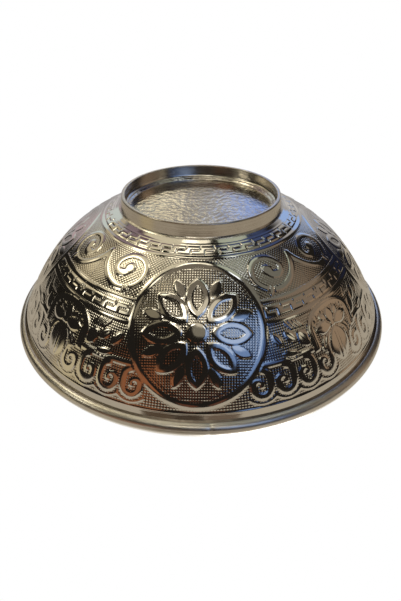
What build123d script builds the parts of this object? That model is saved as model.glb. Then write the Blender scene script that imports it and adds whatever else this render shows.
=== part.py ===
"""Offering bowl: a pressed metal bowl with an embossed wall, a wire on its rim and a soldered foot ring.

It stands upright. The origin is the centre of the foot's resting face, +Z is up and -Y is the front.
"""

import os
from math import asin, atan2, cos, degrees, radians, sin, tan

from build123d import *

os.makedirs("parts", exist_ok=True)

# Overall sizes, in millimetres and degrees
rim_diameter = 110.0
bowl_height = 36.0

# Sheet of the bowl, from its floor out to its lip
sheet_thickness = 1.0
floor_rise = 0.85
floor_step_run = 0.8
floor_step_clearance = 1.3
bend_radius = 0.4
wall_start_slope = 26.4
wall_start_pull = 11.7
wall_end_pull = 19.4
straight_wall_length = 4.9
lip_lean = 28.0

# Wire slotted over the lip and soldered, with its two ends butted near the front
wire_diameter = 3.6
wire_slot_depth = 1.5
wire_end_gap = 0.15
wire_joint_turn = 3.3
rim_seam_turn = 14.0
rim_seam_leg = 0.45

# Foot ring soldered under the floor
foot_height = 3.5
foot_top_radius = 22.3
foot_taper = 0.5
foot_seat_margin = 0.3
foot_wall = 1.0
foot_lip_round = 0.35
outer_seam_rise = 0.9
outer_seam_run = 1.5
outer_cove_radius = 4.5
inner_seam_leg = 0.7
inner_cove_radius = 1.4

# Embossing: oval medallions with a rosette in a raised frame, a lotus petal under an arch and a pair of
# volutes between each two of them, and the raised lines that bound the ornament bands.
# A place on the wall is its length up the outer face from the foot seat.
relief = 0.35
medallion_count = 4
medallion_place = 23.3
frame_half_width = 15.7
frame_half_height = 16.8
frame_width = 1.7
rosette_petals = 8
rosette_radius = 12.4
rosette_eye_radius = 2.3
rosette_petal_base = 3.2
rosette_petal_half_width = 2.7
rosette_line = 1.5
lotus_petal_place = 34.2
lotus_petal_length = 8.6
lotus_petal_half_width = 3.3
lotus_arch_place = 28.0
lotus_arch_half_width = 8.4
lotus_arch_rise = 5.0
lotus_arch_leg = 4.6
lotus_arch_line = 1.8
volute_place = 8.5
volute_line = 1.3
volute_heading = 77.0
volute_bends = ((8.6, 67), (5.2, 83), (4.0, 101), (4.3, 82), (1.9, 200))
volute_ball_radius = 1.3
whole_line_places = (1.8, 5.4, 41.0)
broken_line_places = (18.0, 22.9)
line_radius = 0.45

# Points of the section that follow from the sizes above, as (radius, height)
wire_radius = wire_diameter / 2
wire_centre = (rim_diameter / 2 - wire_radius, bowl_height - wire_radius)
lip_height = bowl_height - wire_diameter + wire_slot_depth
lip_half_width = sheet_thickness / cos(radians(lip_lean)) / 2
lip_middle = wire_centre[0] - (wire_centre[1] - lip_height) * tan(radians(lip_lean))
lip_outer = Vector(lip_middle + lip_half_width, lip_height)
lip_inner = Vector(lip_middle - lip_half_width, lip_height)
up_the_lip = Vector(sin(radians(lip_lean)), cos(radians(lip_lean)))
straight_start = lip_outer - up_the_lip * straight_wall_length
seat_edge = Vector(foot_top_radius + foot_seat_margin, foot_height)
off_the_seat = Vector(cos(radians(wall_start_slope)), sin(radians(wall_start_slope)))
floor_height = foot_height + floor_rise
foot_bore_radius = foot_top_radius - foot_wall
foot_lip_radius = foot_top_radius - foot_taper
foot_ring_middle = foot_top_radius - foot_wall / 2
foot_lean = foot_taper / foot_height
step_foot_radius = foot_bore_radius - floor_step_clearance
floor_radius = step_foot_radius - floor_step_run
step_shift = sheet_thickness * tan(atan2(floor_rise, floor_step_run) / 2)

# The wall turns up off the seat in one smooth curve and runs straight to a little beyond the lip,
# where the sheet is trimmed level.
into_the_seat = Vector(-off_the_seat.Y, off_the_seat.X)
into_the_lip = Vector(-up_the_lip.Y, up_the_lip.X)


def wall_curve(inset):
    """Draw the wall's outer line in the section, moved into the sheet by an inset, and return its ends."""
    start = seat_edge + into_the_seat * inset
    bend_end = straight_start + into_the_lip * inset
    stretch = (bend_end - start).length / (straight_start - seat_edge).length
    end = bend_end + up_the_lip * (straight_wall_length + sheet_thickness)
    Bezier(
        start,
        start + off_the_seat * wall_start_pull * stretch,
        bend_end - up_the_lip * wall_end_pull * stretch,
        bend_end,
    )
    Line(bend_end, end)
    return start, end


with BuildLine() as wall_line:
    wall_curve(0)
wall = wall_line.wire()


def wall_point(place):
    """Point of the section at a place on the wall."""
    return wall.position_at(place, PositionMode.LENGTH)


def wall_plane(place, turn):
    """Plane that touches the wall at a place, turned about the bowl from the front, with +Y up the wall."""
    point = wall_point(place)
    up_wall = wall.tangent_at(place, PositionMode.LENGTH)
    across, away = sin(radians(turn)), -cos(radians(turn))
    origin = (point.X * across, point.X * away, point.Y)
    outwards = (up_wall.Y * across, up_wall.Y * away, -up_wall.X)
    return Plane(origin, x_dir=(-away, across, 0), z_dir=outwards)


medallion_step = 360 / medallion_count
medallion_planes = [wall_plane(medallion_place, index * medallion_step) for index in range(medallion_count)]
lotus_turns = [(index + 0.5) * medallion_step for index in range(medallion_count)]
emboss_depth = frame_half_height / 3

# One petal of the rosette: two arcs from its base to its tip, with a line's width left round it
with BuildSketch() as rosette_petal:
    with BuildLine():
        SagittaArc((rosette_petal_base, 0), (rosette_radius, 0), rosette_petal_half_width)
        SagittaArc((rosette_radius, 0), (rosette_petal_base, 0), rosette_petal_half_width)
    make_face()
    offset(amount=-rosette_line, kind=Kind.INTERSECTION, mode=Mode.SUBTRACT)

# Raised motifs: cut from a skin that lies half in the sheet, so that each follows the wall
with BuildPart() as motifs:
    with BuildSketch(Plane.XZ):
        with BuildLine():
            skin_start, skin_end = wall_curve(-relief)
            root_start, root_end = wall_curve(relief)
            Line(skin_start, root_start)
            Line(skin_end, root_end)
        make_face()
    revolve(axis=Axis.Z)
    with BuildSketch(*medallion_planes):
        Ellipse(frame_half_width, frame_half_height)
        Ellipse(frame_half_width - frame_width, frame_half_height - frame_width, mode=Mode.SUBTRACT)
        Circle(rosette_eye_radius)
        with PolarLocations(0, rosette_petals):
            add(rosette_petal.sketch)
    with BuildSketch(*[wall_plane(lotus_petal_place, turn) for turn in lotus_turns]):
        with BuildLine():
            petal_foot = (0, -lotus_petal_length / 2)
            petal_tip = (0, lotus_petal_length / 2)
            SagittaArc(petal_foot, petal_tip, lotus_petal_half_width)
            SagittaArc(petal_tip, petal_foot, lotus_petal_half_width)
        make_face()
    with BuildSketch(*[wall_plane(lotus_arch_place, turn) for turn in lotus_turns]):
        for inset, arch_mode in ((0, Mode.ADD), (lotus_arch_line, Mode.SUBTRACT)):
            with BuildLine():
                half_width = lotus_arch_half_width - inset
                arch = EllipticalCenterArc((0, 0), half_width, lotus_arch_rise - inset, 180, arc_size=180)
                Polyline(arch @ 1, (half_width, lotus_arch_leg), (-half_width, lotus_arch_leg), arch @ 0)
            make_face(mode=arch_mode)
    with BuildSketch(*[wall_plane(volute_place, turn) for turn in lotus_turns]):
        with BuildLine():
            volute_end = Vector(0, 0)
            heading = Vector(cos(radians(volute_heading)), sin(radians(volute_heading)))
            for volute_radius, volute_turn in volute_bends:
                volute_bend = JernArc(volute_end, heading, volute_radius, -volute_turn)
                volute_end = volute_bend @ 1
                heading = volute_bend % 1
        trace(line_width=volute_line)
        with Locations(volute_end):
            Circle(volute_ball_radius)
        mirror(about=Plane.YZ)
    extrude(amount=emboss_depth, both=True, mode=Mode.INTERSECT)

# Raised lines that run between the medallions and stop in their frames
with BuildPart() as broken_lines:
    with BuildSketch(Plane.XZ):
        with Locations(*[wall_point(place) for place in broken_line_places]):
            Circle(line_radius)
    revolve(axis=Axis.Z)
    with BuildSketch(*medallion_planes):
        Ellipse(frame_half_width - frame_width / 2, frame_half_height - frame_width / 2)
    extrude(amount=emboss_depth, both=True, mode=Mode.SUBTRACT)

with BuildPart() as bowl_shell:
    with BuildSketch(Plane.XZ):
        with BuildLine():
            FilletPolyline(
                (0, floor_height),
                (floor_radius, floor_height),
                (step_foot_radius, foot_height),
                seat_edge,
                radius=(bend_radius, bend_radius + sheet_thickness),
            )
            _, outer_end = wall_curve(0)
            inner_start, inner_end = wall_curve(sheet_thickness)
            FilletPolyline(
                (0, floor_height + sheet_thickness),
                (floor_radius + step_shift, floor_height + sheet_thickness),
                (step_foot_radius + step_shift, foot_height + sheet_thickness),
                inner_start,
                radius=(bend_radius + sheet_thickness, bend_radius),
            )
            Line(outer_end, inner_end)
            Line((0, floor_height), (0, floor_height + sheet_thickness))
        make_face()
        with Locations(*[wall_point(place) for place in whole_line_places]):
            Circle(line_radius)
    revolve(axis=Axis.Z)
    split(bisect_by=Plane.XY.offset(lip_height), keep=Keep.BOTTOM)
    add(broken_lines.part)
    add(motifs.part)
bowl_shell.part.label = "bowl_shell"

# The wire is a ring cut through at its joint, with a slot underneath that takes the trimmed lip
with BuildPart() as rim_wire:
    with BuildSketch(Plane.XZ):
        with Locations(wire_centre):
            Circle(wire_radius)
        with BuildLine():
            Polyline(
                lip_outer,
                lip_inner,
                lip_inner - up_the_lip * wire_diameter,
                lip_outer - up_the_lip * wire_diameter,
                close=True,
            )
        make_face(mode=Mode.SUBTRACT)
    revolve(axis=Axis.Z)
    with BuildSketch(Plane.XY.offset(bowl_height - wire_diameter)):
        with PolarLocations(wire_centre[0], 1, start_angle=-90 - wire_joint_turn):
            Rectangle(wire_diameter * 2, wire_end_gap)
    extrude(amount=wire_diameter, mode=Mode.SUBTRACT)
rim_wire.part.label = "rim_wire"

# Solder in the corner between the wire and the wall, outside the bowl
with BuildPart() as rim_seam:
    with BuildSketch(Plane.XZ):
        with BuildLine():
            corner_turn = degrees(asin(sheet_thickness / wire_diameter)) - 90 - lip_lean
            on_wire = CenterArc(wire_centre, wire_radius, corner_turn, rim_seam_turn)
            Polyline(on_wire @ 1, on_wire @ 0 - up_the_lip * rim_seam_leg, on_wire @ 0)
        make_face()
    revolve(axis=Axis.Z)
rim_seam.part.label = "rim_seam"

# The foot is a strip bent into a slightly conical ring, with its lower edge rounded
with BuildPart() as foot_ring:
    with BuildSketch(Plane.XZ):
        with BuildLine():
            Polyline(
                (foot_lip_radius - foot_wall, 0),
                (foot_lip_radius, 0),
                (foot_top_radius, foot_height),
                (foot_top_radius - foot_wall, foot_height),
                close=True,
            )
        make_face()
    revolve(axis=Axis.Z)
    fillet(foot_ring.edges().group_by(Axis.Z)[0], radius=foot_lip_round)
foot_ring.part.label = "foot_ring"

# Solder round the outside of the foot: a smooth cove from the ring up to the wall
with BuildPart() as foot_seam_outer:
    with BuildSketch(Plane.XZ):
        with BuildLine():
            on_ring = (foot_top_radius - outer_seam_rise * foot_lean, foot_height - outer_seam_rise)
            on_wall = wall_point(outer_seam_run)
            RadiusArc(on_ring, on_wall, outer_cove_radius)
            Polyline(on_wall, (foot_ring_middle, on_wall.Y), (foot_ring_middle, on_ring[1]), on_ring)
        make_face()
    revolve(axis=Axis.Z)
    add(bowl_shell.part, mode=Mode.SUBTRACT)
    add(foot_ring.part, mode=Mode.SUBTRACT)
foot_seam_outer.part.label = "foot_seam_outer"

# Solder in the corner inside the foot, under the seat
with BuildPart() as foot_seam_inner:
    with BuildSketch(Plane.XZ):
        with BuildLine():
            on_ring = (foot_bore_radius - inner_seam_leg * foot_lean, foot_height - inner_seam_leg)
            on_seat = (foot_bore_radius - inner_seam_leg, foot_height)
            RadiusArc(on_seat, on_ring, inner_cove_radius)
            Polyline(
                on_ring,
                (foot_ring_middle, on_ring[1]),
                (foot_ring_middle, floor_height),
                (on_seat[0], floor_height),
                on_seat,
            )
        make_face()
    revolve(axis=Axis.Z)
    add(bowl_shell.part, mode=Mode.SUBTRACT)
    add(foot_ring.part, mode=Mode.SUBTRACT)
foot_seam_inner.part.label = "foot_seam_inner"

for piece in (bowl_shell, rim_wire, rim_seam, foot_ring, foot_seam_outer, foot_seam_inner):
    export_step(piece.part, f"parts/{piece.part.label}.step")
    print(piece.part.label, round(piece.part.volume, 1), "mm3", len(piece.part.solids()), "solid")
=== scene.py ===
# %% [markdown]
# # An embossed offering bowl
# The bowl is pressed from one sheet of white metal. A wire is soldered round its rim, and a foot ring
# under its floor. The CAD model holds the solids, and this lesson dresses them: it turns fine meshes round
# the same axis, raises the ornament on the wall, and gives each piece its metal.
# The frame is loaded first, and its box is kept to print beside the finished bowl's.

# %% Load the frame
import math

import bmesh
import bpy
import numpy as np
from mathutils import Matrix, Vector


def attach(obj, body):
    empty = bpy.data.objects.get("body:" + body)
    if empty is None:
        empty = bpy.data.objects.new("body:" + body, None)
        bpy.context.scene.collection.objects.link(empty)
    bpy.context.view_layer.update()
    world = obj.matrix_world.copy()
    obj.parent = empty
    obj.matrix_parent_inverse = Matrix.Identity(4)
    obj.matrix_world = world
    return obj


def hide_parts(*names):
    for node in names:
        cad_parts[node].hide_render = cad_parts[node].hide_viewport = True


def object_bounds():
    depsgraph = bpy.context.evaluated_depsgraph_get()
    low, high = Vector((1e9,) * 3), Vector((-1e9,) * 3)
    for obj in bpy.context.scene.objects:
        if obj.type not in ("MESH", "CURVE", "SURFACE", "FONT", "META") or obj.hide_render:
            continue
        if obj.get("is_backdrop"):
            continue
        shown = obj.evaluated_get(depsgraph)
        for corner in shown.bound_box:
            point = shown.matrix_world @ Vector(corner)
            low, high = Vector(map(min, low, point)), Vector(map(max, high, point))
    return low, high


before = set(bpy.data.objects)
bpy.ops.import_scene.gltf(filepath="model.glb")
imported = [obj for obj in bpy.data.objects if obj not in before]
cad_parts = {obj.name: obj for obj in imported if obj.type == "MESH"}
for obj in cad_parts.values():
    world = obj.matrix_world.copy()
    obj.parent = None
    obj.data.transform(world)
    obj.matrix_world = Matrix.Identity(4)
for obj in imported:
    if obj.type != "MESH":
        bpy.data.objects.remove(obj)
cad_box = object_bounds()
mm = 0.001
print("CAD box in mm:", [[round(x / mm, 2) for x in corner] for corner in cad_box])

# %% [markdown]
# ## The camera
# The bowl lies on its rim in the photograph, with the foot up, while the frame stands it on its foot.
# Turning the model over would move the frame, so the camera goes under the bowl and hangs upside down. Its
# axes are written as right, up and back, which is clearer than three angles for an inverted camera.

# %% Camera
camera_pitch = math.radians(35.39)
camera_turn = math.radians(-1.25)
camera_place = Vector((0.15, -114.3, -43.8)) * mm
camera_lens = 25.76
camera_near = 5 * mm


def put_in_scene(thing):
    """Link a new object to the scene and return it."""
    bpy.context.scene.collection.objects.link(thing)
    return thing


camera = put_in_scene(bpy.data.objects.new("camera", bpy.data.cameras.new("camera")))
camera_right = Vector((-1, 0, 0))
camera_up = Vector((0, math.sin(camera_pitch), -math.cos(camera_pitch)))
camera_axes = Matrix((camera_right, camera_up, camera_right.cross(camera_up))).transposed()
around_bowl = Matrix.Rotation(camera_turn, 4, "Z")
camera.matrix_world = around_bowl @ Matrix.Translation(camera_place) @ camera_axes.to_4x4()
camera.data.lens = camera_lens
camera.data.clip_start = camera_near
bpy.context.scene.camera = camera
bpy.context.scene.view_settings.view_transform = "Standard"
print("camera at", [round(x / mm, 1) for x in camera.matrix_world.translation], "mm")

# %% [markdown]
# ## Shader maths as Python
# A finish is a formula: where the metal is worn, how deep a groove is. Wiring such a formula node by node
# hides it, so one small class wraps a socket and turns Python's operators into Math nodes. Every other node
# comes from its `node` method: the settings are made first, and then the sockets get values or links.

# %% Shade class


class Shade:
    """An output socket in a node tree. Arithmetic on it adds Math nodes."""

    def __init__(self, tree, socket=None):
        self.tree = tree
        self.socket = socket

    def node(self, kind, settings=None, sockets=None, output=0):
        made = self.tree.nodes.new(kind)
        for name, value in (settings or {}).items():
            setattr(made, name, value)
        for name, value in (sockets or {}).items():
            if isinstance(value, Shade):
                self.tree.links.new(value.socket, made.inputs[name])
            else:
                made.inputs[name].default_value = value
        return Shade(self.tree, made.outputs[output])

    def maths(self, operation, *values):
        return self.node("ShaderNodeMath", {"operation": operation}, dict(enumerate(values)))

    def vector_maths(self, operation, *values, output=0):
        settings = {"operation": operation}
        return self.node("ShaderNodeVectorMath", settings, dict(enumerate(values)), output)

    def length(self):
        return self.vector_maths("LENGTH", self, output="Value")

    def between(self, low, high):
        """0 below one level, 1 above another, and a smooth step from the first to the second."""
        limits = {"Value": self, "From Min": low, "From Max": high}
        return self.node("ShaderNodeMapRange", {"interpolation_type": "SMOOTHSTEP"}, limits)

    def colour_mix(self, first, second):
        """This value as the factor from a first colour to a second."""
        return self.node("ShaderNodeMix", {"data_type": "RGBA"}, {0: self, 6: first, 7: second}, 2)

    def feed(self, node, name):
        self.tree.links.new(self.socket, node.inputs[name])

    def __add__(self, other):
        return self.maths("ADD", self, other)

    __radd__ = __add__

    def __sub__(self, other):
        return self.maths("SUBTRACT", self, other)

    def __rsub__(self, other):
        return self.maths("SUBTRACT", other, self)

    def __mul__(self, other):
        return self.maths("MULTIPLY", self, other)

    __rmul__ = __mul__


print("Shade adds nodes of type ShaderNodeMath for + - *")

# %% [markdown]
# ## White surroundings
# The photograph shows the bowl on plain white. A paper sweep could give that, but a white world has no
# seam to hide. The Light Path node tells the rays apart: the world is full white where the camera or a
# reflection sees it, and softer where it only lights the floor.

# %% World
world_light = 0.6

world = bpy.data.worlds.new("white_surroundings")
bpy.context.scene.world = world
world.use_nodes = True
background = world.node_tree.nodes["Background"]
seen = Shade(world.node_tree).node("ShaderNodeLightPath", output="Is Camera Ray")
light_path = seen.socket.node
for kind in ("Is Glossy Ray", "Is Transmission Ray"):
    seen = seen.maths("MAXIMUM", seen, Shade(world.node_tree, light_path.outputs[kind]))
(world_light + seen * (1 - world_light)).feed(background, "Strength")
background.inputs["Color"].default_value = (1, 1, 1, 1)
print("world of strength 1 where it is seen, and", world_light, "as a light")

# %% [markdown]
# ## A pale floor
# The floor lies just under the foot. One opaque plane would hide the bowl, because the camera hangs below
# it. So it is a pale matt sheet from above, where it keeps the bowl's shadow, and clear from below, where
# the camera sees the bowl against white, as in the photograph. The sheet fades out at its far edge, which
# leaves no horizon line.

# %% Floor
floor_drop = 0.1 * mm
floor_reach = 2.0
floor_fade_start = 0.5
floor_colour = (0.86, 0.855, 0.84, 1)
floor_roughness = 0.9

floor_mesh = bpy.data.meshes.new("floor")
floor_sides = ((-1, -1), (1, -1), (1, 1), (-1, 1))
floor_corners = [(x * floor_reach, y * floor_reach, -floor_drop) for x, y in floor_sides]
floor_mesh.from_pydata(floor_corners, [], [(0, 1, 2, 3)])
floor = put_in_scene(bpy.data.objects.new("floor", floor_mesh))
floor_paint = bpy.data.materials.new("pale_floor")
floor_paint.use_nodes = True
floor_tree = floor_paint.node_tree
floor_shader = floor_tree.nodes["Principled BSDF"]
floor_shader.inputs["Base Color"].default_value = floor_colour
floor_shader.inputs["Roughness"].default_value = floor_roughness
floor_start = Shade(floor_tree)
floor_point = floor_start.node("ShaderNodeTexCoord", output="Object")
floor_fade = floor_point.length().between(floor_fade_start, floor_reach)
below = floor_start.node("ShaderNodeNewGeometry", output="Backfacing")
clear = floor_start.node("ShaderNodeBsdfTransparent")
sheet = Shade(floor_tree, floor_shader.outputs[0])
hidden = below.maths("MAXIMUM", below, floor_fade)
shown = floor_start.node("ShaderNodeMixShader", None, {0: hidden, 1: sheet, 2: clear})
shown.feed(floor_tree.nodes["Material Output"], "Surface")
floor_mesh.materials.append(floor_paint)
for kind in ("diffuse", "glossy", "transmission", "shadow"):
    setattr(floor, "visible_" + kind, False)
floor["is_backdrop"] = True
print("floor", floor_reach * 2, "m wide,", floor_drop / mm, "mm under the foot")

# %% [markdown]
# ## The room that the metal mirrors
# Polished metal has little colour of its own: it shows what stands round it. So the look of the bowl is
# mostly the look of its room: a dim one with many soft lights and dark things in it, a cool window on one
# side and a pale table under the rim. A picture of a room could be wrapped round the bowl, but a list of
# lights can be read and tuned one by one. Each light is a bearing, a rise and a width in degrees, and a
# colour. A bearing is counted from the camera's side, positive to the picture's right, and a rise from
# the level of the table. A later light covers an earlier one.

# %% Room lights
room_shade = (0.014, 0.012, 0.010, 1)
table_shade = (0.42, 0.37, 0.295, 1)
room_lights = (
    (180, 15, 42, (0.40, 0.385, 0.385)),
    (150, 52, 14, (0.05, 0.07, 0.16)),
    (-150, 50, 13, (0.15, 0.095, 0.115)),
    (-22, -20, 10, (0.09, 0.062, 0.04)),
    (-6, -20, 10, (0.06, 0.043, 0.03)),
    (11, -20, 10, (0.15, 0.11, 0.08)),
    (-78, -6, 12, (0.52, 0.44, 0.28)),
    (-108, 54, 13, (0.74, 0.65, 0.44)),
    (-108, 53, 5, (4.2, 3.9, 2.9)),
    (-114, 31, 11, (0.50, 0.43, 0.29)),
    (-116, 31, 4, (1.3, 1.15, 0.8)),
    (-134, 66, 10, (0.66, 0.59, 0.43)),
    (-140, 42, 7, (0.24, 0.18, 0.20)),
    (-133, 27, 7, (0.48, 0.41, 0.28)),
    (-73, 36, 9, (0.95, 0.87, 0.65)),
    (-75, 35, 4, (3.6, 3.3, 2.6)),
    (-50, 52, 7, (0.22, 0.19, 0.13)),
    (-14, 62, 6, (4.2, 3.9, 3.2)),
    (2, 50, 8, (0.20, 0.18, 0.14)),
    (7, 63, 10, (0.66, 0.59, 0.46)),
    (20, 55, 4, (1.5, 1.65, 1.8)),
    (30, 39, 15, (0.16, 0.26, 0.50)),
    (27, 42, 9, (0.42, 0.54, 0.80)),
    (46, 27, 6, (0.05, 0.085, 0.20)),
    (92, 72, 4, (1.6, 1.7, 1.8)),
    (122, 68, 9, (0.42, 0.45, 0.36)),
    (92, 36, 20, (0.21, 0.16, 0.117)),
    (92, 53, 13, (0.16, 0.152, 0.125)),
    (93, 10, 12, (0.29, 0.205, 0.135)),
    (130, 10, 10, (0.012, 0.014, 0.03)),
    (146, 21, 8, (0.34, 0.50, 0.88)),
    (152, 3, 6, (0.45, 0.45, 0.47)),
    (-148, 19, 9, (0.60, 0.66, 0.64)),
    (-146, 3, 6, (0.48, 0.37, 0.39)),
    (165, 12, 11, (0.62, 0.60, 0.58)),
    (-165, 12, 11, (0.62, 0.58, 0.60)),
    (180, 84, 6, (1.2, 1.1, 0.86)),
    (-130, 81, 6, (2.4, 2.2, 1.7)),
    (-40, 80, 13, (0.17, 0.145, 0.11)),
    (-63, 69, 4, (1.8, 1.65, 1.25)),
    (180, 22, 12, (0.30, 0.285, 0.275)),
    (-171, 24, 3.6, (0.36, 0.43, 0.42)),
    (-175, 26.5, 3.3, (1.5, 1.35, 0.95)),
    (177, 27.5, 2.6, (0.95, 1.0, 1.05)),
    (172, 23.3, 4.0, (0.31, 0.50, 1.1)),
    (-48, 11, 6, (0.20, 0.085, 0.04)),
    (-39, 14, 7, (0.26, 0.10, 0.045)),
    (-27, 17, 6, (0.28, 0.10, 0.042)),
    (-7, 13, 5, (0.11, 0.042, 0.024)),
    (9, 13, 5, (0.10, 0.04, 0.024)),
    (66, 25, 5, (0.60, 0.55, 0.42)),
    (180, -80, 40, (0.95, 0.93, 0.88)),
)
print(len(room_lights), "lights in the room")

# %% [markdown]
# ## A dome for the room
# The world could paint the room, but here it is the white background. So the room is painted on a dome
# that only reflections see. The table ends where a gaze from the bowl passes a tilted plane, and each
# light ends at an angle from its middle, both with a soft edge.

# %% Room dome
dome_radius = 4.0
table_tilt, table_sink, table_blur = 0.17, 0.04, 0.012
light_blur = 0.12


def towards(bearing, rise):
    """Unit vector from the bowl towards a bearing and a rise in the picture."""
    bearing, rise = math.radians(bearing), math.radians(rise)
    level = math.cos(rise)
    in_picture = Vector((-level * math.sin(bearing), -level * math.cos(bearing), -math.sin(rise)))
    return around_bowl.to_3x3() @ in_picture


dome_mesh = bpy.data.meshes.new("room_dome")
dome_builder = bmesh.new()
bmesh.ops.create_icosphere(dome_builder, subdivisions=4, radius=dome_radius)
dome_builder.to_mesh(dome_mesh)
dome_builder.free()
dome = put_in_scene(bpy.data.objects.new("room_dome", dome_mesh))
dome_paint = bpy.data.materials.new("dim_room")
dome_paint.use_nodes = True
dome_tree = dome_paint.node_tree
dome_tree.nodes.remove(dome_tree.nodes["Principled BSDF"])
dome_point = Shade(dome_tree).node("ShaderNodeTexCoord", output="Object")
gaze = dome_point.vector_maths("NORMALIZE", dome_point)


def facing(direction):
    """Cosine between the gaze from the bowl and a direction."""
    return gaze.vector_maths("DOT_PRODUCT", gaze, direction, output="Value")


table_side = facing(towards(0, -90)) + facing(towards(0, 0)) * table_tilt
under_rim = table_side.between(table_sink - table_blur, table_sink + table_blur)
room = under_rim.colour_mix(room_shade, table_shade)
for bearing, rise, width, colour in room_lights:
    edge = math.cos(math.radians(width * (1 + light_blur)))
    core = math.cos(math.radians(width * (1 - light_blur)))
    room = facing(towards(bearing, rise)).between(edge, core).colour_mix(room, (*colour, 1))
glow = room.node("ShaderNodeEmission", None, {"Color": room})
glow.feed(dome_tree.nodes["Material Output"], "Surface")
dome_mesh.materials.append(dome_paint)
for kind in ("camera", "diffuse", "transmission", "shadow"):
    setattr(dome, "visible_" + kind, False)
dome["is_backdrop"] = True
print("room dome", 2 * dome_radius, "m across")

# %% [markdown]
# ## A lamp for the floor
# One large lamp over the bowl gives the floor a gentle shadow under the rim. A small lamp would draw a
# hard edge. This one is broad and near, as a soft box on a boom would be.

# %% Soft lamp
lamp_size = 0.5
lamp_power = 1.6
lamp_place = (-0.25, -0.2, 0.7)

lamp = put_in_scene(bpy.data.objects.new("soft_lamp", bpy.data.lights.new("soft_lamp", "AREA")))
lamp.data.shape = "DISK"
lamp.data.size = lamp_size
lamp.data.energy = lamp_power
lamp.location = lamp_place
lamp.rotation_mode = "QUATERNION"
lamp.rotation_quaternion = lamp.location.to_track_quat("Z", "Y")
print("lamp", lamp_size, "m across at", lamp_place)

# %% [markdown]
# ## The section of the bowl
# Every piece is turned about the same axis, so its shape is a section: radius and height. The wall rises
# off the foot in one smooth curve and runs straight to the lip. A curve object could be drawn by eye, but
# a Bezier in numbers keeps the section as the CAD has it. A place on the wall is its length up the outer
# face in millimetres, because the ornament is laid out in bands at such places.

# %% Wall section
rim_radius = 55.0
bowl_height = 36.0
sheet_thickness = 1.0
wire_radius = 1.8
lip_height = 33.9
lip_lean = math.radians(28.0)
seat_edge = np.array((22.6, 3.5))
seat_slope = math.radians(26.4)
seat_pull, lip_pull, straight_wall = 11.7, 19.4, 4.9
wall_samples = 2000

wire_centre = np.array((rim_radius - wire_radius, bowl_height - wire_radius))
up_the_lip = np.array((math.sin(lip_lean), math.cos(lip_lean)))
off_the_seat = np.array((math.cos(seat_slope), math.sin(seat_slope)))
lip_middle = wire_centre - up_the_lip * (wire_centre[1] - lip_height) / up_the_lip[1]
lip_half_width = np.array((sheet_thickness / up_the_lip[1] / 2, 0))
lip_outer, lip_inner = lip_middle + lip_half_width, lip_middle - lip_half_width
bend_end = lip_outer - up_the_lip * straight_wall
bezier_points = (
    seat_edge,
    seat_edge + off_the_seat * seat_pull,
    bend_end - up_the_lip * lip_pull,
    bend_end,
)


def bezier(points, samples):
    """Points along a cubic Bezier curve."""
    t = np.linspace(0, 1, samples)[:, None]
    weights = ((1 - t) ** 3, 3 * (1 - t) ** 2 * t, 3 * (1 - t) * t**2, t**3)
    return sum(weight * np.asarray(point) for weight, point in zip(weights, points))


wall_line = np.vstack((bezier(bezier_points, wall_samples), lip_outer))
wall_lengths = np.append(0, np.cumsum(np.hypot(*np.diff(wall_line, axis=0).T)))
wall_length = wall_lengths[-1]


def wall_at(place):
    """Radius and height of the outer face at a place."""
    return tuple(np.interp(place, wall_lengths, wall_line[:, axis]) for axis in (0, 1))


def wall_direction(place, reach=0.1):
    """Unit direction up the wall at a place, as its outward and upward parts."""
    low, high = wall_at(place - reach), wall_at(place + reach)
    out, up = high[0] - low[0], high[1] - low[1]
    length = np.hypot(out, up)
    return out / length, up / length


print("wall", round(wall_length, 2), "mm long, lip at", lip_outer.round(2))

# %% [markdown]
# ## A grid for the ornament
# On the real bowl a die presses the ornament out of the sheet. It could be sculpted, but it repeats: four
# medallions with a lotus between each two, and every half the mirror image of the other. So it is drawn
# once, on an eighth of the wall from a medallion's axis to a lotus' axis, as a table of heights in
# millimetres. Each motif lies on the plane that touches the wall at its middle, as the CAD has it.

# %% Ornament grid
eighth_columns = 150
wall_rows = 200
full_relief = 0.1
turns = np.radians(np.linspace(0, 45, eighth_columns + 1))[:, None]
places = np.linspace(0, wall_length, wall_rows)[None, :]
radii, heights = wall_at(places)
relief = np.zeros((eighth_columns + 1, wall_rows))


def on_plane(place, turn):
    """Offsets across and up the plane that touches the wall at a place and a turn in degrees."""
    radius, height = wall_at(place)
    out, up = wall_direction(place)
    swing = turns - math.radians(turn)
    return radii * np.sin(swing), (radii * np.cos(swing) - radius) * out + (heights - height) * up


print("grid of", relief.size, "places for an eighth of the wall")

# %% [markdown]
# ## Outlines
# A motif could be a bevelled curve laid on the wall, but then it would not be one sheet with it. So each
# motif starts from a distance: how far every grid point lies from a path, or outside a closed outline. A
# chain of short straight runs stands for a curve, and two arcs that meet make a leaf.

# %% Outlines


def away_from(path, across, up):
    """Distance of every grid point from a path of straight runs."""
    nearest = np.full(across.shape, np.inf)
    for (x0, y0), (x1, y1) in zip(path[:-1], path[1:]):
        run, rise = x1 - x0, y1 - y0
        span = max(run * run + rise * rise, 1e-9)
        share = np.clip(((across - x0) * run + (up - y0) * rise) / span, 0, 1)
        nearest = np.minimum(nearest, np.hypot(across - x0 - share * run, up - y0 - share * rise))
    return nearest


def arc(centre, radius, start, end, samples=24):
    """Points on a circle's arc, from a start to an end angle in degrees."""
    angles = np.radians(np.linspace(start, end, samples))
    return np.stack((centre[0] + radius * np.cos(angles), centre[1] + radius * np.sin(angles)), 1)


def outside_oval(across, up, half_width, half_height, least_scale=0.01):
    """Distance outside an oval, negative inside it, and true only near the outline."""
    scale = np.hypot(across / half_width, up / half_height)
    return np.hypot(across, up) * (1 - 1 / np.maximum(scale, least_scale))


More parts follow.
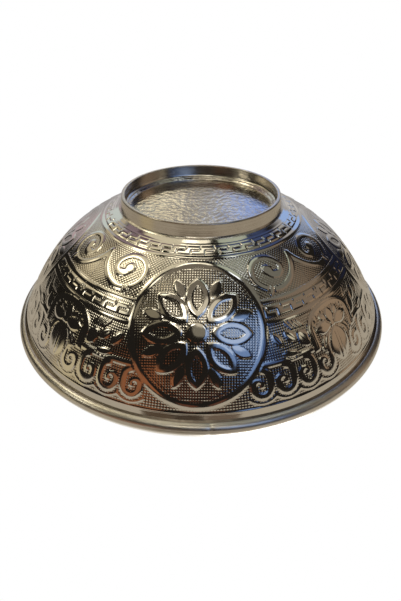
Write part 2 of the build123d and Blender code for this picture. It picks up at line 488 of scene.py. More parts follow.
def lens(along, across, start, end, half_width):
    """Distance outside a leaf shape that two arcs make from a start to an end, negative inside it."""
    half = (end - start) / 2
    radius = (half * half + half_width * half_width) / (2 * half_width)
    offset = radius - half_width
    middle = along - (start + end) / 2
    return np.maximum(np.hypot(middle, across - offset), np.hypot(middle, across + offset)) - radius


print("outlines:", [tool.__name__ for tool in (away_from, arc, outside_oval, lens)])

# %% [markdown]
# ## Raised motifs
# A distance becomes a height: a round ridge along a line, a flat ribbon along a path, or a swelling
# inside an outline. All have soft edges, because pressed sheet has no sharp steps. Where motifs meet, the
# higher one shows. A leaf lies in front of what is there, so it clears a place for itself.

# %% Raised motifs
crown_reach = 1.5
leaf_gap, leaf_crown = 0.25, 0.5
leaf_rib_half_width, leaf_rib_share = 0.24, 0.35


def rounded(distance, half_width, height):
    """A ridge with a round back."""
    return height * np.clip(1 - (distance / half_width) ** 2, 0, 1)


def step(value, low, high):
    """0 below one level, 1 above another, and a smooth step between."""
    share = np.clip((value - low) / (high - low), 0, 1)
    return share * share * (3 - 2 * share)


def plateau(outside, height=full_relief, edge=0.4, crown=0.2):
    """A flat swelling with soft edges and a slight crown; outside is the distance from its outline."""
    bulge = np.sqrt(np.clip(-outside / crown_reach, 0, 1))
    return height * (1 - step(outside, -edge / 2, edge / 2)) * (1 + crown * bulge)


def raise_to(new, where=True):
    """Keep the higher of the ornament so far and a new motif, in the part of the wall that is named."""
    np.maximum(relief, np.where(where, new, 0), out=relief)


def ridge(line, half_width, share, where=True):
    """A round-backed ridge along the line where a distance is 0, to a share of the full relief."""
    raise_to(rounded(np.abs(line), half_width, share * full_relief), where)


def ribbon(path, across, up, half_width, where=True):
    """A flat ribbon along a path."""
    raise_to(plateau(away_from(path, across, up) - half_width), where)


def ball(across, up, centre, radius, **softness):
    """A round boss on a centre, with the same choices as a plateau."""
    raise_to(plateau(np.hypot(across - centre[0], up - centre[1]) - radius, **softness))


def leaf(across, up, root, angle, length, half_width, where):
    """A leaf with a fine groove for its rib, from a root, at an angle in degrees from the level."""
    turn = math.radians(angle)
    along = (across - root[0]) * math.cos(turn) + (up - root[1]) * math.sin(turn)
    aside = (up - root[1]) * math.cos(turn) - (across - root[0]) * math.sin(turn)
    shape = lens(along, aside, 0, length, half_width)
    relief[where & (shape < leaf_gap)] = 0
    rib = rounded(np.abs(aside), leaf_rib_half_width, leaf_rib_share * full_relief)
    raise_to(plateau(shape, crown=leaf_crown) - rib * (shape < -leaf_gap), where)


print("full relief", full_relief, "mm")

# %% [markdown]
# ## Medallion
# The medallion is the largest motif. A smooth oval frame holds a rosette of eight petals, with the tip of
# a leaf in each gap. The frame is a round-backed band with a fine line inside it. Folding the angle into
# one petal draws all eight at once, so they can't differ.

# %% Medallion
medallion_place = 23.3
frame_half_width, frame_half_height, frame_width = 15.7, 16.8, 1.7
frame_line_half_width, frame_line_share = 0.62 * frame_width, 1.1
inner_line_gap, inner_line_half_width, inner_line_share = 0.45, 0.3, 0.4
petal_step = math.pi / 4
rosette_radius, petal_base, petal_half_width, petal_line = 12.4, 3.2, 2.7, 1.5
tip_start, tip_end, tip_half_width, tip_share = 8.0, 13.2, 1.2, 0.9
eye_radius, eye_crown = 2.3, 0.6

across, up = on_plane(medallion_place, 0)
outside_frame = outside_oval(across, up, frame_half_width, frame_half_height)
ridge(outside_frame + frame_width / 2, frame_line_half_width, frame_line_share)
ridge(outside_frame + frame_width + inner_line_gap, inner_line_half_width, inner_line_share)

reach, spin = np.hypot(across, up), np.arctan2(up, across)
fold = np.mod(spin + petal_step / 2, petal_step) - petal_step / 2
petal = lens(reach * np.cos(fold), reach * np.sin(fold), petal_base, rosette_radius, petal_half_width)
raise_to(plateau(np.abs(petal + petal_line / 2) - petal_line / 2))
gap_fold = np.mod(spin, petal_step) - petal_step / 2
tip = lens(reach * np.cos(gap_fold), reach * np.sin(gap_fold), tip_start, tip_end, tip_half_width)
raise_to(plateau(tip, tip_share * full_relief))
ball(across, up, (0, 0), eye_radius, crown=eye_crown)
print("rosette", 2 * rosette_radius, "mm across")

# %% [markdown]
# ## Punched ground
# Rows of small beads fill the bare ground. The rows are square in the medallion and towards the rim, and
# run on the diagonal among the volutes. The mesh is too coarse for beads, so each place only keeps its
# own position in the rows, and the finish draws the beads from that.

# %% Punched ground
lozenge_end, lozenge_middle, square_middle = 17.5, 11.0, 28.0

in_medallion = outside_frame < -frame_width / 2
in_lozenges = places < lozenge_end
level_run = np.where(in_lozenges, wall_at(lozenge_middle)[0], wall_at(square_middle)[0]) * turns
slant = np.where(in_lozenges, math.sqrt(0.5), 0)
upright = np.where(in_lozenges, math.sqrt(0.5), 1)
ground_across = np.where(in_medallion, across, upright * level_run + slant * places)
ground_up = np.where(in_medallion, up, upright * places - slant * level_run)
print("medallion covers", round(100 * float(in_medallion.mean())), "% of the ornament")

# %% [markdown]
# ## Volutes
# Above the foot a pair of ram's-horn volutes grows from each lotus' axis: a smooth ribbon that swings out
# towards the medallion and curls in to a ball. The ribbon is a chain of bends, each a radius and a turn.
# Each bend starts in the direction in which the last one ended, so the line has no kink.

# %% Volutes
volute_place = 8.5
volute_half_width = 0.65
volute_heading = 77
volute_bends = ((8.6, 67), (5.2, 83), (4.0, 101), (4.3, 82), (1.9, 200))
volute_end_points, volute_end_half_width = 8, 0.95
volute_ball, volute_ball_crown = 1.3, 0.5
volute_leaf = ((10.2, 5.0), 50, 2.6, 0.55)


def bent_path(heading, bends, samples=16):
    """Points along a chain of right-hand bends from the origin."""
    path = [np.zeros((1, 2))]
    for radius, turn in bends:
        facing_angle = math.radians(heading)
        centre = path[-1][-1] + radius * np.array((math.sin(facing_angle), -math.cos(facing_angle)))
        path.append(arc(centre, radius, heading + 90, heading + 90 - turn, samples)[1:])
        heading -= turn
    return np.vstack(path)


across, up = on_plane(volute_place, 45)
across = -across
volute = bent_path(volute_heading, volute_bends)
clear_of_frame = outside_frame > 0
ribbon(volute, across, up, volute_half_width, clear_of_frame)
ribbon(volute[-volute_end_points:], across, up, volute_end_half_width)
ball(across, up, volute[-1], volute_ball, crown=volute_ball_crown)
leaf(across, up, *volute_leaf, clear_of_frame)
print("volute ends at", volute[-1].round(2), "mm from its root")

# %% [markdown]
# ## Lotus
# Between the medallions stands a lotus under an arch: broad ribbed petals round a small heart, with dots
# for its stamens. A fine groove runs along the arch. The petals are the leaf from above in several sizes,
# and each lies over the ones before it.

# %% Lotus
arch_place, arch_half_width, arch_rise, arch_leg, arch_line = 28.0, 8.4, 5.0, 4.6, 1.8
arch_margin = 0.2
arch_groove_inset, arch_groove_half_width, arch_groove_share = 0.5, 0.2, 0.35
flower_leaves = (
    ((-0.5, 0.6), 226, 4.3, 1.05),
    ((0.0, 0.8), 270, 3.9, 1.35),
    ((-0.9, 1.1), 190, 5.2, 1.45),
    ((-4.3, 2.5), 104, 4.0, 0.95),
    ((-1.4, 2.2), 136, 5.0, 1.15),
)
stamens = ((-5.9, -0.9), (-5.1, -2.0), (-4.1, -2.9), (-2.0, -3.0))
stamen_radius, crisp_edge = 0.38, 0.3
heart, heart_radius, heart_crown = (0, 1.0), 0.9, 0.6

across, up = on_plane(arch_place, 45)
outside_arch = outside_oval(across, np.minimum(up, 0), arch_half_width, arch_rise)
in_arch = (outside_arch < arch_margin) & (up < arch_leg)
relief[in_arch] = 0
arch_edge = np.abs(outside_arch + arch_line / 2) - arch_line / 2
groove_line = np.abs(arch_edge + arch_groove_inset)
arch_groove = rounded(groove_line, arch_groove_half_width, arch_groove_share * full_relief)
raise_to(plateau(arch_edge) - arch_groove, in_arch)
for outline in flower_leaves:
    leaf(across, up, *outline, in_arch | (up > 0))
for stamen in stamens:
    ball(across, up, stamen, stamen_radius, edge=crisp_edge)
ball(across, up, heart, heart_radius, crown=heart_crown)
print("lotus of", len(flower_leaves), "petals on each side")

# %% [markdown]
# ## Rim petal
# One large petal hangs from the lotus to the rim. A row of beads runs down it between two grooves. It is
# drawn after the flower and clears its own place, so it lies in front.

# %% Rim petal
rim_petal_place, rim_petal_length, rim_petal_half_width = 34.2, 8.6, 3.3
rim_petal_margin, rim_petal_crown = 0.35, 0.4
rim_groove_place, rim_groove_half_width, rim_groove_share, rim_groove_inset = 0.7, 0.22, 0.5, 0.5
rib_bead, rib_step, rib_reach, rib_share = 0.36, 0.85, 2.6, 1.4

across, up = on_plane(rim_petal_place, 45)
rim_petal = lens(up, across, -rim_petal_length / 2, rim_petal_length / 2, rim_petal_half_width)
in_rim_petal = rim_petal < rim_petal_margin
relief[in_rim_petal] = 0
raise_to(plateau(rim_petal, crown=rim_petal_crown))
groove_line = np.abs(np.abs(across) - rim_groove_place)
rim_groove = rounded(groove_line, rim_groove_half_width, rim_groove_share * full_relief)
relief -= rim_groove * (rim_petal < -rim_groove_inset)
for bead in np.arange(-rib_reach, rib_reach, rib_step):
    ball(across, up, (0, bead), rib_bead, height=rib_share * full_relief, edge=crisp_edge)
print("rim petal", rim_petal_length, "mm long")

# %% [markdown]
# ## Panels
# Beside each medallion a small panel holds a sprig of leaves and a few slanting veins. A round-backed
# band closes it on the side of the rim. The panel needs no outline of its own: its motifs are only kept
# off the frame, the arch and the rim petal that bound it.

# %% Panels
panel_place, panel_turn, panel_margin = 27.6, 28.5, 0.3
panel_band_place, panel_band_half_width, panel_band_share = 31.95, 0.9, 1.2
sprig_leaves = (
    ((-4.6, -2.2), 62, 4.0, 0.9),
    ((-1.6, -1.8), 46, 3.8, 1.05),
    ((1.9, -0.9), 58, 4.6, 1.5),
    ((-3.4, 2.9), 12, 4.4, 0.8),
)
vein_roots = (-0.6, 0.4, 1.4, 2.4)
vein_low, vein_high, vein_slant, vein_half_width = -3.6, -2.0, 1.3, 0.36

open_wall = clear_of_frame & ~in_rim_petal & ~in_arch
beside_arch = open_wall & (outside_arch > -panel_margin)
ridge(places - panel_band_place, panel_band_half_width, panel_band_share, beside_arch)

across, up = on_plane(panel_place, panel_turn)
for outline in sprig_leaves:
    leaf(across, up, *outline, beside_arch)
for root in vein_roots:
    vein = ((root, vein_low), (root + vein_slant, vein_high))
    ridge(away_from(vein, across, up), vein_half_width, 1, beside_arch)
print("sprig of", len(sprig_leaves), "leaves and", len(vein_roots), "veins")

# %% [markdown]
# ## Scrolls
# Towards the rim a border of four scrolls runs on each side of a medallion: a broad flat stroke hangs
# from a line, rounds a bowl and curls in. A scalloped line follows them. One stroke is drawn and laid
# down at each turn, so all of them are alike.

# %% Scrolls
scroll_place, scroll_radius, scroll_half_width = 36.7, 2.05, 0.75
scroll_turns = (17.0, 24.0, 31.0, 38.0)
scroll_stem = ((0.3, -3.9), (1.7, -3.7), (scroll_radius, -2.2), (scroll_radius, 0))
curl_radius, curl_half_width = 1.05, 0.45
curl_centre = (curl_radius - scroll_radius, -0.6)
scallop_radius, scallop_sink, scallop_half_width, scallop_share = 4.7, 1.2, 0.42, 0.75
scallop_reach, scallop_start = 3.4, 1.0

stroke = np.vstack((
    bezier(scroll_stem, 9),
    arc((0, 0), scroll_radius, 0, 180),
    arc(curl_centre, curl_radius, 180, 240),
))
curl = arc(curl_centre, curl_radius, 200, 380)
for turn in scroll_turns:
    across, up = on_plane(scroll_place, turn)
    ribbon(stroke, across, up, scroll_half_width, open_wall)
    ribbon(curl, across, up, curl_half_width, open_wall)
    scallop = np.hypot(across, up + scallop_sink) - scallop_radius
    beside = (np.abs(across) < scallop_reach) & (up > scallop_start) & open_wall
    ridge(scallop, scallop_half_width, scallop_share, beside)
print(len(scroll_turns), "scrolls on each side of a medallion")

# %% [markdown]
# ## Bands
# Raised lines bound the bands, each with a place, half a width and a share of the full relief. Two of the
# bands are key frets: flat bars with narrow grooves between them. The grooves are simpler to draw than
# the bars. A groove path in one cell of the fret repeats round the bowl, so its distance is folded by the
# cell's width.

# %% Bands and key frets
raised_lines = (
    (1.75, 0.25, 0.5),
    (5.4, 0.6, 0.9),
    (18.05, 0.7, 0.9),
    (22.95, 0.7, 0.9),
    (41.15, 0.35, 0.8),
)
low_fret, low_fret_cells = (2.05, 4.6), 48
high_fret, high_fret_cell = (19.05, 21.95), 5.375
fret_height, groove_bed, groove_edge = 0.11, 0.052, 0.26
hook_across, hook_up, tick_across, tick_up = 0.55, 0.5, 0.88, 0.3

for place, half_width, share in raised_lines:
    ridge(places - place, half_width, share, open_wall)


def key_fret(turn_degrees, band, cell):
    """Height of a key fret at turns in degrees, in a band of places, with cells of a width in degrees."""
    low, high = band
    tall = high - low
    wide = math.radians(cell) * wall_at((low + high) / 2)[0]
    along = np.mod(turn_degrees / cell, 1) * wide + 0 * places
    over = places - low + 0 * turn_degrees
    grooves = np.minimum(np.abs(over), np.abs(over - tall))
    hook = ((hook_across * wide, tall), (hook_across * wide, hook_up * tall), (0, hook_up * tall))
    tick = ((tick_across * wide, 0), (tick_across * wide, tick_up * tall))
    for shift in (-wide, 0, wide):
        for path in (hook, tick):
            grooves = np.minimum(grooves, away_from(path, along + shift, over))
    bars = fret_height * step(grooves, groove_bed, groove_edge)
    return np.where((over > 0) & (over < tall), bars, 0)


raise_to(key_fret(np.degrees(turns) - 45, high_fret, high_fret_cell), open_wall)
print("low fret of", low_fret_cells, "cells; high fret cells", high_fret_cell, "degrees wide")

# %% [markdown]
# ## From an eighth to the whole wall
# Mirroring and repeating the eighth fills the circle. The low fret runs one way all round, so it is added
# after that. The ground is bare where the ornament is low. The inside of a pressed sheet shows the
# ornament faintly, and averaging each height with its neighbours gives such a soft copy.

# %% Whole wall
ornament_start, ornament_end = 5.9, 40.7
bare_below, covered_above = 0.015, 0.07

wall_columns = 8 * eighth_columns
column = np.arange(wall_columns) % (2 * eighth_columns)
first_half = column <= eighth_columns
mirrored = np.where(first_half, column, 2 * eighth_columns - column)
all_turns = np.radians(360 / wall_columns * np.arange(wall_columns))[:, None]
fret_all_round = key_fret(np.degrees(all_turns), low_fret, 360 / low_fret_cells)
all_relief = np.maximum(relief[mirrored], fret_all_round)
side = np.where(first_half, 1, -1)[:, None]
ground_points = np.stack((side * ground_across[mirrored], ground_up[mirrored]), -1)
ornament = (places > ornament_start) & (places < ornament_end)
bare_ground = ornament * (1 - step(all_relief, bare_below, covered_above))


def blurred(table, passes):
    """Average each height with its neighbours, several times."""
    for _ in range(passes):
        table = (table + np.roll(table, 1, 0) + np.roll(table, -1, 0)) / 3
        padded = np.pad(table, ((0, 0), (1, 1)), mode="edge")
        table = (padded[:, :-2] + padded[:, 1:-1] + padded[:, 2:]) / 3
    return table


print("highest relief", round(float(all_relief.max()), 3), "mm")

# %% [markdown]
# ## Turning a section into a mesh
# A lathe makes every piece: a closed section swept round the axis. A Screw modifier could turn a section
# too, but the wall's section changes all the way round, so the rings of points are worked out first. A
# piece may be cut open at one turn, which leaves two capped ends.

# %% Lathe
turned_columns = 360


def ringed(radius, height, angles):
    """Rings of points at radii and heights in mm, turned by angles from the front towards +X."""
    return np.stack((radius * np.sin(angles), -radius * np.cos(angles), height + 0 * angles), -1)


def spun(rings, opened=False):
    """Mesh data from rings of points, shape (columns, rows, 3) in mm, closed round each ring's rows."""
    columns, rows = rings.shape[:2]
    index = np.arange(columns * rows).reshape(columns, rows)
    after = np.roll(index, -1, 0)
    quads = np.stack((index, after, np.roll(after, -1, 1), np.roll(index, -1, 1)), -1)
    caps = []
    if opened:
        quads = quads[:-1]
        caps = [index[0].tolist(), index[-1][::-1].tolist()]
    return rings.reshape(-1, 3) * mm, quads.reshape(-1, 4).tolist() + caps


def turned(section):
    """Mesh data of a closed section of radii and heights in mm, turned all round the axis."""
    angles = np.linspace(0, 2 * np.pi, turned_columns, endpoint=False)[:, None]
    return spun(ringed(section[None, :, 0], section[None, :, 1], angles))


print("lathe with", turned_columns, "columns a turn")

# %% [markdown]
# ## Adding a piece
# Points that meet are welded, also where a section ends on the axis, so every mesh stays closed. Bends
# are shaded smooth and real edges stay sharp, as an angle decides. Then the piece is attached to what it
# rides on, and the CAD nodes it stands for are hidden.

# %% Adding a piece
smooth_angle = math.radians(38)
weld_reach = 1e-7


def add_piece(name, points, faces, material, slot, nodes):
    """Make a smooth piece that rides on the bowl, and hide the CAD nodes that it stands for."""
    mesh = bpy.data.meshes.new(name)
    mesh.from_pydata(points, [], faces)
    mesh.validate()
    builder = bmesh.new()
    builder.from_mesh(mesh)
    bmesh.ops.remove_doubles(builder, verts=builder.verts, dist=weld_reach)
    bmesh.ops.recalc_face_normals(builder, faces=builder.faces)
    builder.to_mesh(mesh)
    builder.free()
    mesh.shade_smooth()
    mesh.set_sharp_from_angle(angle=smooth_angle)
    mesh.materials.append(material)
    piece = put_in_scene(bpy.data.objects.new(name, mesh))
    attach(piece, "root")
    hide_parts(*nodes)
    print(name, len(mesh.vertices), "points")
    return piece


print("edges sharper than", round(math.degrees(smooth_angle)), "degrees stay sharp")

# %% [markdown]
# ## White metal
# The alloy is a warm silver. Each finish starts from the same bare metal and adds what its making left on
# it: punched beads, spinning lines, solder flow or polishing haze. High places stay bright, and the hollows
# are painted dull and brown, as tarnish and as painted shade. A bump is given in millimetres, so it can be
# compared with the real surface.

# %% Bare metal
silver = (0.83, 0.80, 0.745)
# The brown stands for tarnish and for painted shade in the hollows of the embossed wall.
tarnish_and_shade_brown = (0.40, 0.345, 0.275)


def metal(name, roughness):
    """A bare metal finish: its material, its shader and a start for its nodes."""
    material = bpy.data.materials.new(name)
    material.use_nodes = True
    shader = material.node_tree.nodes["Principled BSDF"]
    shader.inputs["Base Color"].default_value = (*silver, 1)
    shader.inputs["Metallic"].default_value = 1
    shader.inputs["Roughness"].default_value = roughness
    return material, shader, Shade(material.node_tree)


def tint(share, first, second, shader):
    """Colour a finish by a share from a first colour to a second."""
    share.colour_mix((*first, 1), (*second, 1)).feed(shader, "Base Color")


def press(height, shader):
    """Bump a finish by a height in mm."""
    bump = height.node("ShaderNodeBump", None, {"Height": height * mm, "Distance": 1.0})
    bump.feed(shader, "Normal")


print("silver", silver, "and tarnish", tarnish_and_shade_brown)

# %% [markdown]
# ## Patterns in the metal
# Two patterns serve every finish: cloudy haze, and lines round the axis such as a lathe leaves. Both are
# noise. For the lines it is looked up by radius and height alone, so it stays the same all the way round.

# %% Patterns
line_detail = 2.0


def noise(start, point, size, detail):
    """Noise from 0 to 1 over a point, with patches of about a size in mm."""
    sockets = {"Vector": point, "Scale": 1 / (size * mm), "Detail": detail}
    return start.node("ShaderNodeTexNoise", None, sockets)


def haze(start, size, detail=3.0):
    """Cloudy noise all through a piece."""
    return noise(start, start.node("ShaderNodeTexCoord", output="Object"), size, detail)


def from_axis(point):
    """Distance of a point from the bowl's axis."""
    return point.vector_maths("MULTIPLY", point, (1, 1, 0)).length()


def turning_lines(start, pitch):
    """Noise that changes only with radius and height, so it makes lines round the axis."""
    point = start.node("ShaderNodeTexCoord", output="Object")
    level = start.node("ShaderNodeSeparateXYZ", None, {0: point}, "Z")
    line_point = start.node("ShaderNodeCombineXYZ", None, {"X": from_axis(point), "Y": level})
    return noise(start, line_point, pitch, line_detail)


print("patterns:", [pattern.__name__ for pattern in (haze, turning_lines)])

# %% [markdown]
# ## Finish of the embossed wall
# The ground between the motifs is punched with rows of small beads. Modelling tens of thousands of them
# would be heavy, so they are a bump: two cosines across the ground's own rows, stored on the mesh in
# millimetres, multiply into round beads. Between the beads, where the ground is bare, the colour is painted
# darker, as tarnish and as painted shade in the hollows.

# %% Embossed plate
bead_pitch = 0.6
bead_height, fine_height, cloud_height = 0.024, 0.002, 0.05
tarnish_and_shade_start, tarnish_and_shade_end = 0.1, 1.1

embossed_plate, shader, start = metal("embossed_plate", 0.14)
ground = start.node("ShaderNodeAttribute", {"attribute_name": "ground"}, output="Vector")
split = start.node("ShaderNodeSeparateXYZ", None, {0: ground}).socket.node.outputs
bead_rows = [Shade(start.tree, split[axis]) * (2 * math.pi / bead_pitch) for axis in ("X", "Y")]
bead_waves = [0.5 + 0.5 * row.maths("COSINE", row) for row in bead_rows]
beads = bead_waves[0] * bead_waves[1]
bare = Shade(start.tree, split["Z"])
cloud = haze(start, 6.0)
fine = haze(start, 0.5)
# Painted shade and tarnish: the bare ground between the beads is darkened towards the brown.
tarnish_and_shade_mask = bare * (1 - beads) * (0.2 + 0.8 * cloud)
tint(tarnish_and_shade_mask.between(tarnish_and_shade_start, tarnish_and_shade_end), silver, tarnish_and_shade_brown, shader)
(0.05 + 0.05 * cloud + 0.02 * bare + 0.02 * fine).feed(shader, "Roughness")
press(beads * bare * bead_height + fine_height * fine + cloud_height * cloud, shader)
print("beads", bead_pitch, "mm apart")

# %% [markdown]
# ## Spun inside
# The inside was polished on a lathe. Faint rings from the cloth run round the axis, and the surface has a
# soft unevenness from pressing. Both are too shallow to model, so the finish carries them.

# %% Spun inside
inside_haze = (0.76, 0.715, 0.64)

spun_inside, shader, start = metal("spun_inside", 0.2)
rings = turning_lines(start, 0.22)
cloud = haze(start, 9.0)
tint(cloud.between(0.35, 0.75), silver, inside_haze, shader)
(0.13 + 0.10 * rings + 0.06 * cloud).feed(shader, "Roughness")
press(0.006 * rings + 0.10 * cloud, shader)
print("inside", spun_inside.name)

# %% [markdown]
# ## Leathery underside
# The floor under the foot was left as the press made it, with a skin of small waves like leather. Noise
# of two sizes gives the waves and their grain, and the light breaks up on them.

# %% Pressed base
base_haze = (0.64, 0.60, 0.55)

pressed_base, shader, start = metal("pressed_base", 0.24)
waves = haze(start, 1.3, 2.0)
grain = haze(start, 0.45)
cloud = haze(start, 8.0)
tint(cloud.between(0.3, 0.7), silver, base_haze, shader)
(0.07 + 0.03 * cloud + 0.03 * grain).feed(shader, "Roughness")
press(0.11 * waves + 0.024 * grain, shader)
print("base", pressed_base.name)

# %% [markdown]
# ## Rim and foot
# The rim wire is drawn through a die, so fine lines run along it. The outside of the foot is painted darker
# with painted shade, most along its turning lines, and the inside has the plain colour of the metal. The
# distance from the axis tells the two faces of the foot apart, so one finish serves both.

# %% Rim and foot finishes
rim_haze = (0.74, 0.69, 0.60)
# Painted shade for the outer face of the foot.
foot_painted_shade = (0.50, 0.44, 0.36)
outer_face_start, outer_face_end = 21.35 * mm, 21.6 * mm

rim_plate, shader, start = metal("rim_plate", 0.15)
drawn = turning_lines(start, 0.28)
cloud = haze(start, 5.0)
tint(cloud.between(0.4, 0.8), silver, rim_haze, shader)
(0.22 + 0.12 * drawn + 0.04 * cloud).feed(shader, "Roughness")
press(0.014 * drawn + 0.02 * cloud, shader)

foot_plate, shader, start = metal("foot_plate", 0.25)
foot_lines = turning_lines(start, 0.3)
cloud = haze(start, 5.0)
from_foot_axis = from_axis(start.node("ShaderNodeTexCoord", output="Object"))
outer_face = from_foot_axis.between(outer_face_start, outer_face_end)
# Painted shade: the outer face of the foot is darkened, most along its turning lines.
tint(outer_face * (0.2 + 0.35 * cloud + 0.45 * foot_lines), silver, foot_painted_shade, shader)
(0.22 - 0.04 * outer_face + 0.06 * foot_lines).feed(shader, "Roughness")
press(0.013 * foot_lines + 0.02 * cloud, shader)
print("finishes", rim_plate.name, "and", foot_plate.name)

# %% [markdown]
# ## Solder
# Solder has a mottled skin. It is bright at the foot, and painted dark under the wire, as tarnish and as
# painted shade in the groove there.
# One function makes both, since they differ only in colour, patches and sheen.

# %% Solder finishes


def soldered(name, patch, light, dark, roughness, spread, skin):
    """A solder finish with mottled patches of a size in mm, from a light to a dark colour."""
    material, shader, start = metal(name, 0.3)
    mottle = haze(start, patch)
    tint(mottle.between(0.3, 0.7), light, dark, shader)
    (roughness + spread * mottle).feed(shader, "Roughness")
    press(skin * mottle, shader)
    return material


# Painted shade and tarnish: solder in the groove under the wire is coloured dark.
solder_tarnish_and_shade = soldered("solder_tarnish_and_shade", 1.5, (0.38, 0.33, 0.27), (0.26, 0.22, 0.18), 0.24, 0.12, 0.02)
solder = soldered("solder", 1.2, (0.80, 0.77, 0.71), (0.66, 0.62, 0.56), 0.14, 0.14, 0.025)
print("finishes", solder_tarnish_and_shade.name, "and", solder.name)

# %% [markdown]
# ## The embossed wall
# The wall's outer face moves out along its own normal by the relief. Towards the rim the press left it a
# hair fuller, and the plain band under the wire draws in again. The inner face lies a sheet's thickness
# inside it, with the shallow ghost of the relief. A Displace modifier could move one face, but these two
# move differently. Both faces and the two edges close into one solid ring.

# %% Embossed wall
inner_rows = 60
ghost_share, ghost_blur = 0.3, 5
swell_height, swell_start = 0.32, 26.0
band_start, band_end = 41.2, 43.1


def off_wall(at_places, outwards):
    """Points that stand off the outer face by a distance in mm, all round the bowl."""
    radius, height = wall_at(at_places)
    out, up = wall_direction(at_places)
    return ringed(radius + outwards * up, np.minimum(height - outwards * out, lip_height), all_turns)


swell = swell_height * np.clip((places - swell_start) / (band_start - swell_start), 0, 1) ** 2
swell = swell * (1 - np.clip((places - band_start) / (band_end - band_start), 0, 1))
inner_places = np.linspace(wall_length, 0, inner_rows)[None, :]
last_row = wall_rows - 1
ghost_rows = np.round(inner_places[0] / wall_length * last_row).clip(0, last_row).astype(int)
ghost = blurred(all_relief, ghost_blur)[:, ghost_rows]
wall_rings = np.concatenate((
    off_wall(places, all_relief + swell),
    off_wall(inner_places, ghost_share * ghost - sheet_thickness),
), 1)
wall_points, wall_faces = spun(wall_rings)
embossed_wall = add_piece(
    "embossed_wall", wall_points, wall_faces, embossed_plate, "embossed_plate", ["bowl_shell"]
)
print("wall of", len(wall_faces), "faces")

# %% [markdown]
# ## Two finishes on the wall
# The outside is bright embossed plate and the inside is spun. The faces of the inner rows take the spun
# finish. Each point of the outer rows stores its position in the rows of beads, and how bare the ground
# is there, which needs no unwrapped texture.

# %% Wall finishes
embossed_wall.data.materials.append(spun_inside)
face_rows = np.arange(len(wall_faces)) % wall_rings.shape[1]
embossed_wall.data.polygons.foreach_set("material_index", (face_rows >= wall_rows).astype(np.int32))
ground_data = np.zeros((*wall_rings.shape[:2], 3), np.float32)
ground_data[:, :wall_rows, :2] = ground_points
ground_data[:, :wall_rows, 2] = bare_ground
ground_layer = embossed_wall.data.attributes.new("ground", "FLOAT_VECTOR", "POINT")
ground_layer.data.foreach_set("vector", ground_data.ravel())
print("ground stored on", len(ground_layer.data), "points")

# %% [markdown]
# ## The floor of the bowl
# The floor is a disc with a small step down to the seat on the foot. Its corners are bends in sheet
# metal, so each corner of the section is eased by a short curve before it is turned. The outer edge of
# the seat stays where the wall begins.

# %% Bowl floor
floor_underside, floor_radius, step_foot = 4.2, 19.8, 20.5
floor_topside = floor_underside + sheet_thickness
step_slope = math.atan2(floor_underside - seat_edge[1], step_foot - floor_radius)
step_shift = sheet_thickness * math.tan(step_slope / 2)
bend_reach = 0.5
inside_tilt = 0.3


def eased(corners, reach, samples=7, largest_share=0.45):
    """A line through corners, each one eased by a curve that starts at a reach in mm from it."""
    line = [corners[0]]
    t = np.linspace(0, 1, samples)[:, None]
    for three in zip(corners[:-2], corners[1:-1], corners[2:]):
        before, corner, after = (np.array(point, float) for point in three)
        back, on = before - corner, after - corner
        start_point = corner + back * min(largest_share, reach / np.linalg.norm(back))
        end_point = corner + on * min(largest_share, reach / np.linalg.norm(on))
        line.extend((1 - t) ** 2 * start_point + 2 * t * (1 - t) * corner + t**2 * end_point)
    return np.vstack((*line, corners[-1]))


under_corners = [
    (0, floor_underside),
    (floor_radius, floor_underside),
    (step_foot, seat_edge[1]),
    seat_edge,
]
inside_corners = [
    seat_edge + sheet_thickness * np.array((-off_the_seat[1], off_the_seat[0])),
    (step_foot + step_shift, seat_edge[1] + sheet_thickness),
    (floor_radius + step_shift, floor_topside),
    (0, floor_topside),
]
floor_section = np.vstack((eased(under_corners, bend_reach), eased(inside_corners, bend_reach)))
floor_points, floor_faces = turned(floor_section)
axis_row = len(floor_section) - 1
floor_faces = [face for i, face in enumerate(floor_faces) if i % len(floor_section) != axis_row]
bowl_floor = add_piece(
    "bowl_floor", floor_points, floor_faces, pressed_base, "embossed_plate", ["bowl_shell"]
)
bowl_floor.data.materials.append(spun_inside)
floor_middle = (floor_underside + sheet_thickness / 2) * mm
is_inside = [
    face.center.z > floor_middle or face.normal.z > inside_tilt for face in bowl_floor.data.polygons
]
bowl_floor.data.polygons.foreach_set("material_index", np.array(is_inside, np.int32))
print("floor", 2 * floor_radius, "mm across its flat")

# %% [markdown]
# ## The rim wire
# A drawn wire is bent round the lip until its ends meet near the front, each a hair thinner at its tip. A
# slot along its underside takes the lip, so the wall runs into the wire's middle. A torus has no slot and
# no ends, so the wire is turned from its own section as an open piece.

# %% Rim wire
joint_turn, joint_gap = -3.3, 0.15
end_thinning, end_reach = 0.05, 0.12
wire_columns, wire_samples = 480, 56
slot_turn = -90 - math.degrees(lip_lean)
slot_half_turn = math.degrees(math.asin(sheet_thickness / 2 / wire_radius))
slot_edge = slot_turn + slot_half_turn

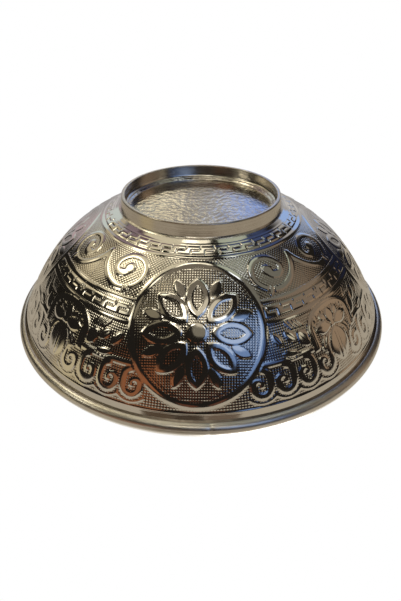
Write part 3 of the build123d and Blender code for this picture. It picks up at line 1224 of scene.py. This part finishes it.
wire_round = arc(wire_centre, wire_radius, slot_edge, slot_turn + 360 - slot_half_turn, wire_samples)
wire_section = np.vstack((wire_round, lip_inner, lip_outer))
half_gap = math.degrees(joint_gap / 2 / wire_centre[0])
wire_turns = np.radians(np.linspace(joint_turn + half_gap, joint_turn + 360 - half_gap, wire_columns))
from_end = np.minimum(wire_turns - wire_turns[0], wire_turns[-1] - wire_turns) * wire_centre[0]
end_scale = (1 - end_thinning * np.exp(-from_end / end_reach))[:, None]
wire_radii = wire_centre[0] + (wire_section[:, 0] - wire_centre[0])[None, :] * end_scale
wire_heights = wire_centre[1] + (wire_section[:, 1] - wire_centre[1])[None, :] * end_scale
wire_rings = ringed(wire_radii, wire_heights, wire_turns[:, None])
add_piece("rim_wire_ring", *spun(wire_rings, opened=True), rim_plate, "rim_plate", ["rim_wire"])
print("wire", 2 * wire_radius, "mm thick, joint", joint_gap, "mm wide")

# %% [markdown]
# ## The joint of the wire
# Solder fills the joint almost flush, so it shows only as a fine line across the bead. It is a short plug
# of the wire's own section that reaches a little into both ends.

# %% Joint of the wire
fill_share, fill_overlap, fill_columns = 0.985, 1.5, 4

fill_section = wire_centre + fill_share * (wire_round - wire_centre)
fill_gaps = np.linspace(-fill_overlap, fill_overlap, fill_columns)[:, None]
fill_turns = np.radians(joint_turn + half_gap * fill_gaps)
fill_rings = ringed(fill_section[None, :, 0], fill_section[None, :, 1], fill_turns)
add_piece("solder_in_joint", *spun(fill_rings, opened=True), rim_plate, "solder", ["rim_seam"])
print("joint filled to", fill_share, "of the wire's radius")

# %% [markdown]
# ## The foot ring
# The foot is a strip bent to a slightly conical ring, with a rounded lower edge. The easing that bends
# the floor's corners also rounds this edge.

# %% Foot ring
foot_height, foot_lip, foot_top, foot_wall, lip_round = 3.5, 21.8, 22.3, 1.0, 0.35
foot_inside = foot_top - foot_wall

foot_corners = [
    (foot_inside, foot_height),
    (foot_lip - foot_wall, 0),
    (foot_lip, 0),
    (foot_top, foot_height),
]
foot_section = eased(foot_corners, lip_round)
add_piece("foot_strip", *turned(foot_section), foot_plate, "foot_plate", ["foot_ring"])
print("foot", 2 * foot_lip, "mm across its lip")

# %% [markdown]
# ## The solder seams
# Solder fills the corner under the rim wire and both corners of the foot, where surface tension drew it
# into a hollow curve. A bevel would bulge or lie flat, so each seam is turned from a small section of its
# own.

# %% Solder seams
outer_leg, outer_run, outer_depth = 0.35, 0.6, 0.06
inner_leg, inner_depth = 0.7, 0.08
under_wire_turn, under_wire_reach = 14, 0.45
foot_lean = (foot_top - foot_lip) / foot_height


def hollow_curve(start_point, end_point, depth, samples=9):
    """A curve between two points that sinks by a depth in mm to the left of the way it runs."""
    start_point, end_point = np.array(start_point, float), np.array(end_point, float)
    t = np.linspace(0, 1, samples)[:, None]
    run = end_point - start_point
    aside = np.array((-run[1], run[0])) / np.linalg.norm(run)
    return start_point + t * run + 4 * depth * t * (1 - t) * aside


outer_start = (foot_top - outer_leg * foot_lean, foot_height - outer_leg)
outer_cove = hollow_curve(outer_start, wall_at(outer_run), outer_depth)
outer_section = np.vstack((outer_cove, seat_edge, (foot_top, foot_height)))
inner_start = (foot_inside - inner_leg, foot_height)
inner_end = (foot_inside - inner_leg * foot_lean, foot_height - inner_leg)
inner_cove = hollow_curve(inner_start, inner_end, inner_depth)
inner_section = np.vstack((inner_cove, (foot_inside, foot_height)))
under_wire = arc(wire_centre, wire_radius, slot_edge, slot_edge + under_wire_turn, 5)
under_wire_section = np.vstack((under_wire, under_wire[0] - under_wire_reach * up_the_lip))
seams = (
    ("solder_outside_foot", outer_section, solder, "foot_seam_outer"),
    ("solder_inside_foot", inner_section, solder, "foot_seam_inner"),
    ("solder_under_wire", under_wire_section, solder_tarnish_and_shade, "rim_seam"),
)
for name, section, finish, node in seams:
    add_piece(name, *turned(section), finish, "solder", [node])
print(len(seams), "seams of solder")

# %% [markdown]
# ## Size
# The finished bowl should fill the same box as the CAD model, so both boxes are printed.

# %% Size and finish
boxes = {"cad": cad_box, "visual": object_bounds()}
for name, box in boxes.items():
    print(name, [[round(x / mm, 2) for x in corner] for corner in box])
